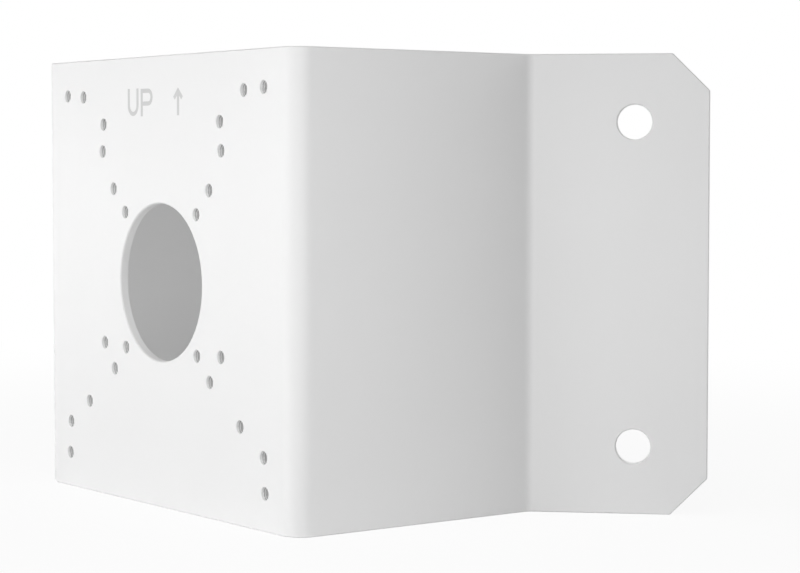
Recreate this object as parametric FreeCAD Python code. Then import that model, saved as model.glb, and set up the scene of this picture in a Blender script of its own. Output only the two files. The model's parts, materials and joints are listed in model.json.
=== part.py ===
"""Corner bracket that carries a security camera on the outside corner of a building.

It is one steel sheet folded four times. The camera plate is in front. A side panel
runs back from each of its upright edges, and a wall flange turns out from each side
panel, so that the two flanges lie on the two walls that meet at the corner.

The origin is the middle of the camera plate's front face, on the cable hole's axis.
+X points to the right for someone who faces the plate, +Y to the wall, and +Z up.
All sizes are in millimetres and all angles in degrees.
"""

import FreeCAD, Part
import math
import os

# The sheet and its folds
sheet = 2.5
height = 120.0
plate_width = 128.0  # over the outer faces of the two side panels
side_depth = 73.8  # from the plate's front face to the rear fold's corner line
flange_width = 46.7  # from the rear fold's corner line to the free edge
front_turn = 90.0  # between the plate and a side panel
rear_turn = 45.0  # between a side panel and its flange
fold_radius = 3.0  # on the inside of every fold

# The sheared outline
corner_cut = 9.6  # each leg of the cut across a flange's free corner
corner_round = 0.8  # where that cut meets the straight edges
edge_break = 0.3  # bevel all along the outline, on both faces of the sheet

# The round hole for the camera's cable
cable_hole = 42.0
cable_hole_bevel = 0.3

# The tapped holes for the camera's screws, at the tapping drill's size
screw_hole = 3.3
screw_hole_bevel = 0.15

# Squares of four screw holes, by the side of the square
outer_square = 100.8
middle_square = 49.3
inner_square = 36.7
raised_square = 60.0
raised_square_lift = 12.2  # its middle above the cable hole's axis

# Level pairs of screw holes, by their spacing and their height above that axis
top_pair = 82.6
top_pair_height = 49.9
upper_pair = 61.1
upper_pair_height = 34.8
lower_pair = 78.0
lower_pair_height = -34.8
bottom_pair = 99.6
bottom_pair_height = -41.5

# The holes for the wall screws, two in each flange
wall_hole = 9.0
wall_hole_bevel = 0.3
wall_hole_inset = 19.3  # from the flange's free edge to the hole's centre
wall_hole_from_end = 17.7  # from the flange's top or bottom edge to the hole's centre

UP = FreeCAD.Vector(0, 0, 1)
FRONT = FreeCAD.Vector(0, -1, 0)
MIDDLE = FreeCAD.Vector(0, 0, 0)


def heading(angle):
    """Unit vector seen from above, turned from +X towards +Y by an angle."""
    turn = math.radians(angle)
    return FreeCAD.Vector(math.cos(turn), math.sin(turn), 0)


def mirrored(shape):
    """The same shape on the left half of the bracket."""
    return shape.mirror(MIDDLE, FreeCAD.Vector(1, 0, 0))


class Fold:
    """A fold of the right half, followed outwards from the plate.

    corner is where the two straight runs of the sheet's outer face would meet. The
    outer face is the one that the plate shows in front, and a depth is measured from
    it into the sheet. A fold turns left (side 1) or right (side -1) as it is followed,
    and its inside is on the sheet's inner face or its outer face.
    """

    def __init__(self, corner, angle_before, turn, side):
        self.turn = turn
        self.side = side
        self.angle_before = angle_before
        self.outer_radius = fold_radius + (sheet if side > 0 else 0)
        set_back = self.outer_radius * math.tan(math.radians(turn) / 2)
        start = corner - heading(angle_before) * set_back
        self.centre = start + heading(angle_before + side * 90) * self.outer_radius

    def point(self, share, depth):
        """Point on the arc at a depth, from the fold's start (0) to its end (1)."""
        angle = self.angle_before + self.side * (share * self.turn - 90)
        return self.centre + heading(angle) * (self.outer_radius - self.side * depth)

    def arc(self, depth):
        return Part.Arc(*[self.point(share, depth) for share in (0, 0.5, 1)]).toShape()


# The right half's corner points and directions, on the sheet's outer face
flange_angle = front_turn - rear_turn
front_corner = FreeCAD.Vector(plate_width / 2, 0, 0)
rear_corner = front_corner + heading(front_turn) * side_depth
free_edge = rear_corner + heading(flange_angle) * flange_width
flange_inward = heading(flange_angle + 90)

front_fold = Fold(front_corner, 0, front_turn, side=1)
rear_fold = Fold(rear_corner, front_turn, rear_turn, side=-1)


def right_run(depth):
    """The right half of one face of the sheet in section, without the plate."""
    return [
        front_fold.arc(depth),
        Part.makeLine(front_fold.point(1, depth), rear_fold.point(0, depth)),
        rear_fold.arc(depth),
        Part.makeLine(rear_fold.point(1, depth), free_edge + flange_inward * depth),
    ]


def folded_sheet():
    """The folded section as one closed outline, extruded to the bracket's height."""
    edges = [Part.makeLine(free_edge, free_edge + flange_inward * sheet)]
    for depth in (0, sheet):
        edges += right_run(depth)
    edges += [mirrored(edge) for edge in edges]
    for depth in (0, sheet):
        right = front_fold.point(0, depth)
        edges.append(Part.makeLine(FreeCAD.Vector(-right.x, right.y, 0), right))
    section = Part.Face(Part.Wire(Part.__sortEdges__(edges)))
    section.translate(UP * (-height / 2))
    return section.extrude(UP * height)


def corner_waste(end):
    """The triangle that is cut off the right flange's top (1) or bottom (-1) corner.

    Its long side runs through a point on each edge, one leg of the cut away from the
    corner, and its other two sides stand one more leg outside the sheet.
    """
    tip = free_edge + UP * (end * height / 2) - flange_inward * sheet
    outward = heading(flange_angle) * corner_cut
    upward = UP * (end * corner_cut)
    points = [tip - outward * 2 + upward, tip + outward - upward * 2, tip + outward + upward]
    return Part.Face(Part.makePolygon(points + points[:1])).extrude(flange_inward * (3 * sheet))


def is_sharp(edge, solid):
    """Whether the two faces that meet in an edge have different normals there."""
    middle = edge.valueAt((edge.FirstParameter + edge.LastParameter) / 2)
    normals = [
        face.normalAt(*face.Surface.parameter(middle))
        for face in solid.ancestorsOfType(edge, Part.Face)
    ]
    return len(normals) == 2 and math.degrees(normals[0].getAngle(normals[1])) > 5


def is_through_sheet(edge):
    """Whether an edge crosses the sheet from one face to the other."""
    start, end = [vertex.Point for vertex in edge.Vertexes]
    return abs(start.z - end.z) < 1e-6 and abs(start.distanceToPoint(end) - sheet) < 1e-6


def trimmed(blank):
    """The folded sheet with its four free corners cut and its whole outline bevelled."""
    for end in (1, -1):
        waste = corner_waste(end)
        blank = blank.cut([waste, mirrored(waste)])
    blank = blank.Solids[0]
    blank = blank.makeFillet(corner_round, [e for e in blank.Edges if is_through_sheet(e)])
    return blank.makeChamfer(edge_break, [e for e in blank.Edges if is_sharp(e, blank)])


def hole_cutter(centre, normal, diameter, bevel):
    """The cutter of a round hole through the sheet, with a bevel at both of its rims.

    centre lies on the outer face, and the normal points out of it. The cutter is its
    own section turned about the hole's axis: a straight wall that opens out at each
    face of the sheet and runs on as wide as its mouth.
    """
    wall = diameter / 2
    mouth = wall + bevel
    section = [
        (0, -sheet), (mouth, -sheet), (mouth, 0), (wall, bevel),
        (wall, sheet - bevel), (mouth, sheet), (mouth, 2 * sheet), (0, 2 * sheet),
    ]
    points = [FreeCAD.Vector(radius, 0, -depth) for radius, depth in section]
    outline = Part.makePolygon(points + points[:1])
    cutter = Part.Face(outline).revolve(MIDDLE, UP, 360)
    cutter.Placement = FreeCAD.Placement(centre, FreeCAD.Rotation(UP, normal))
    return cutter


def screw_hole_places():
    """Centres of the screw holes on the plate's front face, right half only."""
    squares = [
        (outer_square, 0),
        (middle_square, 0),
        (inner_square, 0),
        (raised_square, raised_square_lift),
    ]
    rows = [(side, lift + end * side / 2) for side, lift in squares for end in (1, -1)]
    rows += [
        (top_pair, top_pair_height),
        (upper_pair, upper_pair_height),
        (lower_pair, lower_pair_height),
        (bottom_pair, bottom_pair_height),
    ]
    return [FreeCAD.Vector(spacing / 2, 0, level) for spacing, level in rows]


def wall_hole_places():
    """Centres of the two wall holes on the right flange's outer face."""
    level = height / 2 - wall_hole_from_end
    middle = free_edge - heading(flange_angle) * wall_hole_inset
    return [middle + UP * (end * level) for end in (1, -1)]


def drilled(blank):
    """The trimmed sheet with its cable hole, its screw holes and its wall holes."""
    right_holes = [
        hole_cutter(place, FRONT, screw_hole, screw_hole_bevel) for place in screw_hole_places()
    ]
    right_holes += [
        hole_cutter(place, flange_inward * -1, wall_hole, wall_hole_bevel)
        for place in wall_hole_places()
    ]
    cutters = [hole_cutter(MIDDLE, FRONT, cable_hole, cable_hole_bevel)]
    cutters += right_holes + [mirrored(cutter) for cutter in right_holes]
    return blank.cut(cutters)


bracket = drilled(trimmed(folded_sheet())).Solids[0]

os.makedirs("parts", exist_ok=True)
bracket.exportStep("parts/corner_bracket.step")

box = bracket.BoundBox
print("corner_bracket: valid", bracket.isValid(), "volume", round(bracket.Volume, 1), "mm3")
print("size", round(box.XLength, 2), round(box.YLength, 2), round(box.ZLength, 2), "mm")
print("faces", len(bracket.Faces), "screw holes", 2 * len(screw_hole_places()))
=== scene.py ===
# %% [markdown]
# # A corner bracket in white powder coat
# The object is one folded steel sheet: a drilled camera plate in front, two side
# panels, and two flanges that lie on the walls of a building's outside corner. Its
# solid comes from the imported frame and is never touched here. This lesson gives it
# its coating, the threads in its screw holes and the mark that says which end goes
# up, and then lights it as in a studio. Lengths are in metres and angles in degrees.

# %% Load the frame
import json
import math
import bmesh
import bpy
import numpy as np
from mathutils import Euler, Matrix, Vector


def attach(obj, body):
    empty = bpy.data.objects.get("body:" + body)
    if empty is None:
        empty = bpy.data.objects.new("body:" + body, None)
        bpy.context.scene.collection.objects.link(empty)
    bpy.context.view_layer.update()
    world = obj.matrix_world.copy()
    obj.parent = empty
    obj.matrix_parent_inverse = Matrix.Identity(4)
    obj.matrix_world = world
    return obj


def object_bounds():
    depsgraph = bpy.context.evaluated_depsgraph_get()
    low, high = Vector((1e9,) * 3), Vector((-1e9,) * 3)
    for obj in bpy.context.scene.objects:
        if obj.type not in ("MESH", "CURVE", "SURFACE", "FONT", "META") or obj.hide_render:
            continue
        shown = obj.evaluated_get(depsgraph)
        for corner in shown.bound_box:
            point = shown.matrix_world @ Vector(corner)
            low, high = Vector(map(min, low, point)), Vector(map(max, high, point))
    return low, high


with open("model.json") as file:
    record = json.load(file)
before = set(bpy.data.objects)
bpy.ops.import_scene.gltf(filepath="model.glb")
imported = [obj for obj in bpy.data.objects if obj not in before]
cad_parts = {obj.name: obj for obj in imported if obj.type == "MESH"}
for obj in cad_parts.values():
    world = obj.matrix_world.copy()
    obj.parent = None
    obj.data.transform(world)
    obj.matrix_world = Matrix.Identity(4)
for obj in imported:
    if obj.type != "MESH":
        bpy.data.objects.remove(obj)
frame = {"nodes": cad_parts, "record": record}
CAD_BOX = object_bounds()
BODY = "root"
MM = 0.001
bracket = frame["nodes"]["corner_bracket"]
mounts = {mount["name"]: mount for mount in frame["record"]["mounts"]}
box_in_mm = [[round(c / MM, 2) for c in corner] for corner in CAD_BOX]
print("the bracket's box in mm:", box_in_mm)

# %% [markdown]
# ## The camera
# A product photo is taken with a long lens from a few widths away, so that upright
# edges stay nearly parallel. The place and the two angles below come from the
# picture's own vanishing lines: the camera stands to the right of the plate, a little
# above the bracket's middle, and looks down by about three degrees. The lens follows
# from the focal length in pixels, because the picture's width fills the sensor.

# %% Place the camera
PHOTO_WIDTH = 800
SENSOR_WIDTH = 36.0  # in millimetres, as lenses are measured
FOCAL_PIXELS = 2252.0
CAMERA_PLACE = Vector((517.0, -304.0, 32.2)) * MM
CAMERA_HEADING = 53.45  # to the left of a look straight at the plate
CAMERA_DIP = 3.19  # below level
NEAREST_SEEN = 10 * MM

camera_data = bpy.data.cameras.new("camera")
camera_data.sensor_width = SENSOR_WIDTH
camera_data.lens = FOCAL_PIXELS / PHOTO_WIDTH * SENSOR_WIDTH
camera_data.clip_start = NEAREST_SEEN
camera = bpy.data.objects.new("camera", camera_data)
camera.location = CAMERA_PLACE
tilt, heading = math.radians(90 - CAMERA_DIP), math.radians(CAMERA_HEADING)
camera.rotation_euler = Euler((tilt, 0, heading))
bpy.context.scene.collection.objects.link(camera)
bpy.context.scene.camera = camera
print("lens", round(camera_data.lens, 1), "mm")

# %% [markdown]
# ## Shader maths as plain expressions
# A material is a graph of nodes, and sums written by hand in a graph are hard to
# read. The small class below wraps a socket, so that `1 - mask * 0.5` adds the Math
# nodes by itself.

# %% Wrap sockets
class Wire:
    """A node's output that can be used in a sum."""

    def __init__(self, shader, socket):
        self.shader = shader
        self.socket = socket

    def _math(self, operation, *values):
        settings = {"operation": operation}
        return self.shader.node("ShaderNodeMath", settings, dict(enumerate(values)))

    def __add__(self, other):
        return self._math("ADD", self, other)

    def __radd__(self, other):
        return self._math("ADD", other, self)

    def __sub__(self, other):
        return self._math("SUBTRACT", self, other)

    def __rsub__(self, other):
        return self._math("SUBTRACT", other, self)

    def __mul__(self, other):
        return self._math("MULTIPLY", self, other)

    def __rmul__(self, other):
        return self._math("MULTIPLY", other, self)

    def most(self, other):
        """The larger of this value and the other."""
        return self._math("MAXIMUM", self, other)

    def ramp(self, start, end):
        """A smooth step: 0 where the value is at start, and 1 where it is at end."""
        settings = {"interpolation_type": "SMOOTHSTEP"}
        values = {"Value": self, "From Min": start, "From Max": end}
        return self.shader.node("ShaderNodeMapRange", settings, values)


# %% [markdown]
# ## One method for every other node
# The rest of a graph could be built line by line, with a line for each setting and
# each link. Instead, one method takes a node's type, its settings and what goes into
# its sockets, and a few short ones name the nodes that the finishes below share.

# %% Build materials
MIX_SHARE, MIX_FIRST, MIX_SECOND, MIX_COLOUR = 0, 6, 7, 2  # a Mix node's colour sockets


class Shader:
    """The nodes of a material or of the world, with one method that adds any node."""

    def __init__(self, owner):
        owner.use_nodes = True
        self.owner = owner
        self.tree = owner.node_tree
        self.tree.nodes.clear()

    def node(self, kind, settings=None, inputs=None, output=0):
        """Add a node, put in its settings and then its sockets, and give one output."""
        made = self.tree.nodes.new(kind)
        for key, value in (settings or {}).items():
            setattr(made, key, value)
        for key, value in (inputs or {}).items():
            if isinstance(value, Wire):
                self.tree.links.new(value.socket, made.inputs[key])
            else:
                made.inputs[key].default_value = value
        return Wire(self, made.outputs[output]) if made.outputs else None

    def place(self):
        """The point on the surface, in metres, in the bracket's own frame."""
        return self.node("ShaderNodeTexCoord", output="Object")

    def noise(self, place, size, detail=2.0):
        """Soft random values from 0 to 1 whose bumps are about as wide as size."""
        values = {"Vector": place, "Scale": 1 / size, "Detail": detail}
        return self.node("ShaderNodeTexNoise", {"normalize": True}, values)

    def blend(self, share, first, second):
        """A colour between two others: the first at a share of 0, the second at 1."""
        values = {MIX_SHARE: share, MIX_FIRST: first, MIX_SECOND: second}
        return self.node("ShaderNodeMix", {"data_type": "RGBA"}, values, MIX_COLOUR)

    def relief(self, height, depth):
        """A normal that shows the height, from 0 to 1, as a relief of that depth."""
        values = {"Height": height, "Distance": depth, "Strength": 1.0}
        return self.node("ShaderNodeBump", {}, values)

    def surface(self, **inputs):
        """The closing shader, with its sockets named by words joined with underscores."""
        named = {key.replace("_", " "): value for key, value in inputs.items()}
        principled = self.node("ShaderNodeBsdfPrincipled", {}, named)
        self.node("ShaderNodeOutputMaterial", {}, {"Surface": principled})
        return self.owner


def new_material(name):
    """The builder of a new material."""
    return Shader(bpy.data.materials.new(name))


def grey(level):
    """A neutral colour, as linear red, green and blue with full cover."""
    return (level, level, level, 1)


WHITE = grey(1.0)

# %% [markdown]
# ## The powder coat
# The sheet is sprayed with dry polyester powder and baked. The coat flows as it
# melts and sets with a faint waviness, called orange peel: low bumps one or two
# millimetres wide and a few thousandths high. Finer grains between them dull the
# gloss unevenly, and in wide soft areas the coat lies thinner and a trace darker. All
# of it could be modelled as tiny shapes, but it is far lower than a shape can show.
# So it is noise that feeds relief, roughness and colour, on the object's own
# coordinates, and the pattern runs on round the folds without a seam.

# %% Make the powder coat
COAT_LEVEL = 0.86
THIN_LEVEL = COAT_LEVEL - 0.008
THIN_SIZE = 40 * MM
THIN_RAMP = (0.3, 0.7)  # the noise from which the coat thins, and where it is thin
PEEL_SIZE = 1.6 * MM
GRAIN_SIZE = 0.25 * MM
RELIEF_DEPTH = 0.006 * MM
PEEL_RELIEF, GRAIN_RELIEF = 0.8, 0.2
PEEL_DULLING, GRAIN_DULLING = 0.04, 0.08
COAT_ROUGHNESS = 0.44
COAT_IOR = 1.5


def powder_coat():
    """Satin white polyester with orange peel, fine grain and thinner areas."""
    shader = new_material("white_powder_coat")
    place = shader.place()
    peel = shader.noise(place, PEEL_SIZE, detail=1.0)
    grain = shader.noise(place, GRAIN_SIZE)
    thin = shader.noise(place, THIN_SIZE, detail=1.0).ramp(*THIN_RAMP)
    relief = peel * PEEL_RELIEF + grain * GRAIN_RELIEF
    return shader.surface(
        Base_Color=shader.blend(thin, grey(COAT_LEVEL), grey(THIN_LEVEL)),
        Roughness=COAT_ROUGHNESS + grain * GRAIN_DULLING + peel * PEEL_DULLING,
        IOR=COAT_IOR,
        Normal=shader.relief(relief, RELIEF_DEPTH),
    )


bracket.data.materials.clear()
bracket.data.materials.append(powder_coat())
print("coated", bracket.name, "with", len(bracket.data.polygons), "facets")

# %% [markdown]
# ## Where the screw holes are
# The camera's screws go into 24 tapped holes, in squares and level pairs. Their
# places could be typed in again, but the record's mounts already give each pattern's
# middle and spacing, so they are read from there and nothing is measured twice.

# %% Find the screw holes
PATTERN_ENDINGS = ("square_screws", "pair_screws")
screw_patterns = [mounts[name] for name in mounts if name.endswith(PATTERN_ENDINGS)]


def hole_centres(pattern):
    """The corners of a square, or the ends of a level pair, round its middle."""
    dims = pattern["dims"]
    middle = np.array(pattern["pos_m"])
    across = dims["spacing_x_mm"] / 2 * MM
    rise = dims.get("spacing_y_mm", 0) / 2 * MM
    corners = [(x, 0, z) for x in (-across, across) for z in sorted({-rise, rise})]
    return middle + np.array(corners)


holes = np.vstack([hole_centres(pattern) for pattern in screw_patterns])
SCREW_RADIUS = screw_patterns[0]["dims"]["hole_r_mm"] * MM
SHEET = 2 * mounts["cable_hole"]["pos_m"][1]  # that mount lies halfway into the sheet
print(len(holes), "screw holes of radius", SCREW_RADIUS / MM, "mm")
print("the sheet is", SHEET / MM, "mm thick")

# %% [markdown]
# ## Tubes as whole arrays
# A thread and a struck line are both a small ring of points carried along a path. A
# curve with a bevel could carry it, but then Blender decides how the ring turns. So
# each tube is one array of points, and one function joins the rings and closes both
# ends, for any number of tubes at once.

# %% Turn arrays into closed meshes
def add_mesh(name, points, faces, material):
    """An object from an array of points and a list of faces."""
    mesh = bpy.data.meshes.new(name)
    mesh.from_pydata(np.asarray(points, float).tolist(), [], faces)
    mesh.materials.append(material)
    mesh.validate()
    piece = bpy.data.objects.new(name, mesh)
    bpy.context.scene.collection.objects.link(piece)
    return piece


def tube_faces(tubes, rings, sides):
    """Faces of closed tubes whose points run tube by tube, ring by ring, side by side.

    A quad joins each pair of neighbours on a ring to the same pair on the next ring,
    and the last side is next to the first. Triangles fan over both end rings.
    """
    first = np.arange(tubes)[:, None, None] * rings * sides
    last = first + (rings - 1) * sides
    start = first + np.arange(rings - 1)[:, None] * sides
    side = np.arange(sides)
    here, beside = start + side, start + (side + 1) % sides
    quads = np.stack([here, beside, beside + sides, here + sides], axis=-1)
    fan = np.arange(1, sides - 1)
    hub = np.zeros_like(fan)
    near = first + np.stack([hub, fan + 1, fan], axis=-1)
    far = last + np.stack([hub, fan, fan + 1], axis=-1)
    ends = np.concatenate([near, far])
    return quads.reshape(-1, 4).tolist() + ends.reshape(-1, 3).tolist()


def turn_outwards(mesh):
    """Turn every face of a closed mesh outwards, and give the volume inside."""
    shell = bmesh.new()
    shell.from_mesh(mesh)
    bmesh.ops.recalc_face_normals(shell, faces=shell.faces)
    shell.to_mesh(mesh)
    volume = shell.calc_volume(signed=True)
    shell.free()
    return volume


# %% [markdown]
# ## Threads in the screw holes
# Each small hole is tapped, and the coat is kept out of the thread. A thread is one
# ridge that climbs round the hole's wall. It could be a bump in the material, but a
# ridge is a shape, so it is swept as a surface: a triangle with its tip cut off,
# carried along a helix. Its foot is sunk into the wall, so that no gap shows there.
# All the ridges are one array, with one row for each hole.

# %% Sweep the ridges
THREAD_PITCH = 0.7 * MM
RIDGE = 0.1 * MM  # from the wall to the crest
ROOT = 0.03 * MM  # from the wall to the sunk foot
HOLE_BEVEL = 0.15 * MM  # at each rim, where the thread stops
HALF_FOOT = 0.32  # half the foot's width, over the pitch
CREST_SHARE = 0.2  # the crest's width, over the foot's
RINGS_PER_TURN = 24


def ridge_points(centres, radius, sheet, pitch):
    """Points of one ridge in each hole: holes, rings along the helix, ring points.

    A ring is the ridge's cut: two points at its foot and two on its crest. It stands
    at x = r sin(angle), z = r cos(angle), and moves back by one pitch in each turn,
    which is a right-hand thread for someone who faces the plate. The crest rises from
    the foot over the first half turn and sinks back into it over the last.
    """
    foot = HALF_FOOT * pitch
    start = HOLE_BEVEL + foot
    turns = (sheet - 2 * start) / pitch
    angle = np.linspace(0, 2 * np.pi * turns, round(turns * RINGS_PER_TURN))
    rise = np.clip(np.minimum(angle, angle[-1] - angle) / np.pi, 0, 1)
    crest = radius + ROOT - (RIDGE + ROOT) * rise
    sunk = np.full_like(angle, radius + ROOT)
    r = np.stack([sunk, crest, crest, sunk], axis=-1)
    angle = angle[:, None]
    from_middle = foot * np.array([-1, -CREST_SHARE, CREST_SHARE, 1])
    along = start + pitch * angle / (2 * np.pi) + from_middle
    ring = np.stack([r * np.sin(angle), along, r * np.cos(angle)], axis=-1)
    return centres[:, None, None, :] + ring


points = ridge_points(holes, SCREW_RADIUS, SHEET, THREAD_PITCH)
print(len(points), "ridges of", points.shape[1], "rings each")

# %% [markdown]
# ## Cut steel in the holes
# The tap cuts down to bare steel, which stays bright under a film of oil and carries
# the tap's fine scratches. A plain metal would look polished, so noise finer than a
# tenth of a millimetre changes both its brightness and its gloss.

# %% Cut the threads
STEEL_DARK, STEEL_BRIGHT = 0.41, 0.54
STEEL_METALLIC = 0.9
STEEL_ROUGHNESS = 0.35
SCRATCH_SIZE = 0.08 * MM
SCRATCH_DULLING = 0.25


def tapped_steel():
    """Bright cut steel under a film of oil, with the fine scratches of the tap."""
    shader = new_material("tapped_steel")
    scratches = shader.noise(shader.place(), SCRATCH_SIZE)
    return shader.surface(
        Base_Color=shader.blend(scratches, grey(STEEL_DARK), grey(STEEL_BRIGHT)),
        Metallic=STEEL_METALLIC,
        Roughness=STEEL_ROUGHNESS + scratches * SCRATCH_DULLING,
    )


faces = tube_faces(*points.shape[:3])
threads = add_mesh("screw_threads", points.reshape(-1, 3), faces, tapped_steel())
volume = turn_outwards(threads.data)
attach(threads, BODY)
print(len(threads.data.polygons), "faces hold", round(volume / MM**3, 2), "mm3")

# %% [markdown]
# ## The mark that says which end goes up
# The patterns of holes differ at the top and the bottom, so the plate says which way
# up it goes: the word UP and an arrow, seven and a half millimetres high. A text
# object would bring a typeface, but a stamp's letters are plain strokes, so each one
# is a path of straight runs and arcs in the plate's plane.

# %% Lay out the strokes
MARK_FOOT = 44.1 * MM
MARK_TOP = 51.6 * MM
STROKE = 1.45 * MM
HALF_STROKE = STROKE / 2
LETTER_U = (-16.6 * MM, -10.5 * MM)  # its left and right limits
LETTER_P = (-9.7 * MM, -3.1 * MM)
ARROW = 9.8 * MM  # its shaft, to the right of the plate's middle
BARB = 2.0 * MM  # how far each barb reaches out and down
ARC_POINTS = 14


def arc(centre, radius, start, end):
    """Points on a circle: centre + radius (cos, sin) of angles from start to end."""
    angle = np.radians(np.linspace(start, end, ARC_POINTS))
    return np.array(centre) + radius * np.stack([np.cos(angle), np.sin(angle)], axis=-1)


def letter_u(left, right, foot, top):
    """The path of a U that fills the given limits: two stems on a half circle."""
    near, far = left + HALF_STROKE, right - HALF_STROKE
    half = (far - near) / 2
    bowl = arc((near + half, foot + HALF_STROKE + half), half, 180, 360)
    return np.vstack([[(near, top)], bowl, [(far, top)]])


def letter_p(left, right, foot, top):
    """The path of a P that fills the given limits.

    Its bowl takes the upper half of the stem, so the bowl's radius is a quarter of it.
    """
    near, high = left + HALF_STROKE, top - HALF_STROKE
    half = (high - foot) / 4
    bowl = arc((right - HALF_STROKE - half, high - half), half, 90, -90)
    return np.vstack([[(near, foot), (near, high)], bowl, [(near, high - 2 * half)]])


peak = MARK_TOP - HALF_STROKE * math.sqrt(2)  # the barbs meet in a mitre above it
tip = (ARROW, peak)
strokes = [
    letter_u(*LETTER_U, MARK_FOOT, MARK_TOP),
    letter_p(*LETTER_P, MARK_FOOT, MARK_TOP),
    np.array([(ARROW, MARK_FOOT), tip]),
    np.array([(ARROW - BARB, peak - BARB), tip, (ARROW + BARB, peak - BARB)]),
]
print("points along each stroke:", [len(stroke) for stroke in strokes])

# %% [markdown]
# ## Strokes struck into the coat
# A stamp presses the coat down and pushes up a low lip on each side of the line.
# Paint on the coat would lie flat and catch no light at its edges, so a shallow
# groove with its two lips is carried along each path. It is a closed ribbon, and its
# edges are sunk into the plate. The line's grey, darker than the coat, is painted
# shade: it stands in for the shade in the stamped groove.

# %% Strike the mark
LIP = 0.03 * MM
LINE_CUT = np.array([(-1, -3), (-0.7, 1), (0, 0.2), (0.7, 1), (1, -3)])
# painted shade: the line's grey stands in for the shade in the stamped groove, with a random
# grain
GROOVE_SHADE_DARK, GROOVE_SHADE_BRIGHT = 0.58, 0.65
STRUCK_ROUGHNESS = 0.55
STRUCK_GRAIN = 0.3 * MM
STRUCK_DULLING = 0.15


def ribbon(path):
    """Ring points of a struck line along a path of (x, z) points in the plate's plane.

    Each ring stands across the path and has the points of LINE_CUT: how far out in
    half strokes, and how high in lips. Its half width is divided by the cosine of half
    the turn there, so that the line keeps its width round a corner.
    """
    run = np.diff(path, axis=0)
    run /= np.linalg.norm(run, axis=1)[:, None]
    before = np.vstack([run[:1], run])
    after = np.vstack([run, run[-1:]])
    middle = before + after
    middle /= np.linalg.norm(middle, axis=1)[:, None]
    across = np.stack([-middle[:, 1], middle[:, 0]], axis=-1)
    across /= np.sum(middle * after, axis=1)[:, None]
    out, high = HALF_STROKE * LINE_CUT[:, 0], LIP * LINE_CUT[:, 1]
    flat = path[:, None, :] + across[:, None, :] * out[None, :, None]
    depth = np.broadcast_to(-high, flat.shape[:2])
    return np.stack([flat[..., 0], depth, flat[..., 1]], axis=-1)


def painted_groove_shade():
    """Painted shade of the stamped groove: a grey darker than the coat, with a fine grain."""
    shader = new_material("painted_groove_shade")
    grain = shader.noise(shader.place(), STRUCK_GRAIN)
    return shader.surface(
        Base_Color=shader.blend(grain, grey(GROOVE_SHADE_DARK), grey(GROOVE_SHADE_BRIGHT)),
        Roughness=STRUCK_ROUGHNESS + grain * STRUCK_DULLING,
    )


mark_points = []
mark_faces = []
for stroke in strokes:
    rings = ribbon(stroke)
    first = sum(len(part) for part in mark_points)
    faces = tube_faces(1, *rings.shape[:2])
    mark_points.append(rings.reshape(-1, 3))
    mark_faces += [[first + corner for corner in face] for face in faces]
mark = add_mesh("up_mark", np.vstack(mark_points), mark_faces, painted_groove_shade())
volume = turn_outwards(mark.data)
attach(mark, BODY)
print(len(mark.data.polygons), "faces hold", round(volume / MM**3, 2), "mm3")

# %% [markdown]
# ## The table and the white room
# The picture's background is plain white, and the part stands on a pale table that
# keeps its soft shadow. More light would bleach the part as well. Instead, the camera
# and the coat's gloss see the table as an even white with only a share of its own
# shading. Near the part that share is largest, and it fades out with distance, so
# that no horizon shows. The room round it is seen as white in the same way.

# %% Lay the table
TABLE_HALF = 3.0  # half of its side
TABLE_LEVEL = 0.88
SHADOW_SHARE = 0.08  # of its own shading, near the part
FADE_FROM = 0.12  # from the frame's origin, where that share starts to fade
FADE_TO = 0.55  # and where it is gone


def seen_rays(shader):
    """1 for a ray that shows this surface to the camera, directly or in a gloss."""
    kinds = ("Is Camera Ray", "Is Glossy Ray", "Is Transmission Ray")
    straight, glossy, through = [
        shader.node("ShaderNodeLightPath", output=kind) for kind in kinds
    ]
    return straight.most(glossy).most(through)


def table_top():
    """Pale matt paint that is seen as an even white, but for its share of shading."""
    shader = new_material("table_top")
    distance = shader.node(
        "ShaderNodeVectorMath", {"operation": "LENGTH"}, {0: shader.place()}, "Value"
    )
    shading = (1 - distance.ramp(FADE_FROM, FADE_TO)) * SHADOW_SHARE
    paint = shader.node("ShaderNodeBsdfDiffuse", {}, {"Color": grey(TABLE_LEVEL)})
    white = shader.node("ShaderNodeEmission", {}, {"Color": WHITE, "Strength": 1.0})
    white_share = seen_rays(shader) * (1 - shading)
    mixed = shader.node("ShaderNodeMixShader", {}, {0: white_share, 1: paint, 2: white})
    shader.node("ShaderNodeOutputMaterial", {}, {"Surface": mixed})
    return shader.owner


ends = (-TABLE_HALF, TABLE_HALF)
table_corners = [(x, y, CAD_BOX[0].z) for y in ends for x in ends]
table = add_mesh("table", table_corners, [[0, 1, 3, 2]], table_top())
print("table at", round(CAD_BOX[0].z / MM, 2), "mm")

# %% Light the room
ROOM_LIGHT = 0.05


def white_room(strength):
    """An even white surround: it is seen at full white and lights the part by less."""
    shader = Shader(bpy.data.worlds.new("white_room"))
    level = strength + (1 - strength) * seen_rays(shader)
    light = shader.node("ShaderNodeBackground", {}, {"Color": WHITE, "Strength": level})
    shader.node("ShaderNodeOutputWorld", {}, {"Surface": light})
    return shader.owner


bpy.context.scene.world = white_room(ROOM_LIGHT)
print("room light", ROOM_LIGHT)

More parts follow.
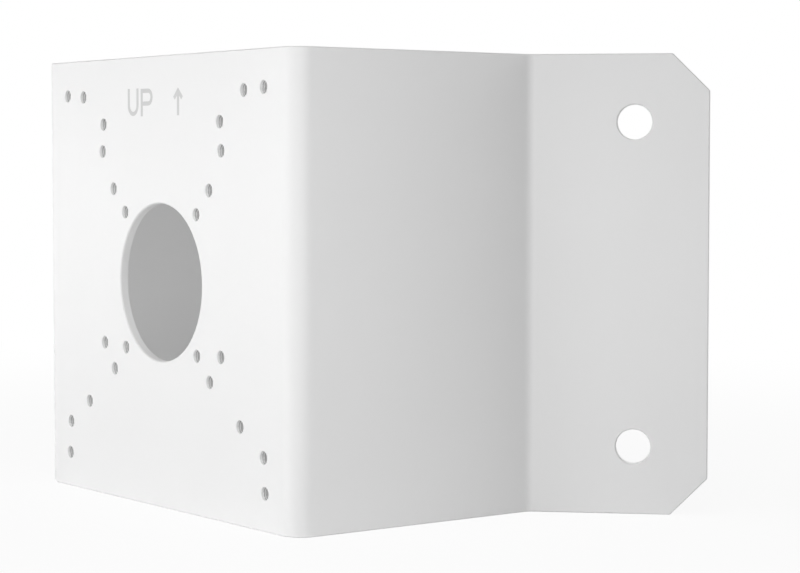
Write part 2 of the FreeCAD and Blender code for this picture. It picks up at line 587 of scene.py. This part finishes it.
# %% [markdown]
# ## Soft studio light
# White sheet metal shows its folds only by how bright each panel is. The plate is the
# brightest, the flange comes next, and the side panel darkens towards the rear fold.
# A lamp that is near fades over the depth of the part, so a narrow strip stands close
# to the right of the front fold, and a softbox behind it adds light for the flange.
# A wide softbox on the left evens out the plate. A lamp far in front and a large one
# above light all the outer faces. Of the two lamps behind, the one on the right also
# grazes the side panel, and the flange keeps its light from the rear fold. The camera
# sees none of the lamps themselves.

# %% Hang the lamps
LAMPS = {
    "right_softbox": dict(around=49, above=4, away=0.56, width=0.47, height=0.19, watts=0.26),
    "right_strip": dict(around=68, above=9, away=0.26, width=0.11, height=0.19, watts=0.15),
    "left_softbox": dict(around=326, above=1, away=0.43, width=0.83, height=0.13, watts=1.18),
    "front_lamp": dict(around=356, above=7.4, away=1.5, width=0.21, height=0.5, watts=1.3),
    "top_lamp": dict(around=31, above=66, away=1.5, width=1.0, height=1.0, watts=7.9),
    "rear_lamp": dict(around=148, above=11, away=1.5, width=0.54, height=0.7, watts=3.5),
    "back_lamp": dict(around=208, above=22, away=1.5, width=1.0, height=0.7, watts=2.6),
}


def hang_lamp(name, around, above, away, width, height, watts):
    """A rectangular lamp that faces the plate's middle from a direction in degrees.

    around is counted from straight in front of the plate to the right, and above is
    the angle over the horizon. away is the distance in metres.
    """
    turn, rise = math.radians(around), math.radians(above)
    flat = math.cos(rise)
    direction = Vector((flat * math.sin(turn), -flat * math.cos(turn), math.sin(rise)))
    data = bpy.data.lights.new(name, "AREA")
    data.shape = "RECTANGLE"
    data.size = width
    data.size_y = height
    data.energy = watts
    lamp = bpy.data.objects.new(name, data)
    lamp.location = direction * away
    lamp.rotation_euler = (-direction).to_track_quat("-Z", "Y").to_euler()
    lamp.visible_camera = False
    bpy.context.scene.collection.objects.link(lamp)


for lamp_name, lamp_facts in LAMPS.items():
    hang_lamp(lamp_name, **lamp_facts)
bpy.context.scene.view_settings.view_transform = "Standard"
print("lamps:", {name: facts["watts"] for name, facts in LAMPS.items()})
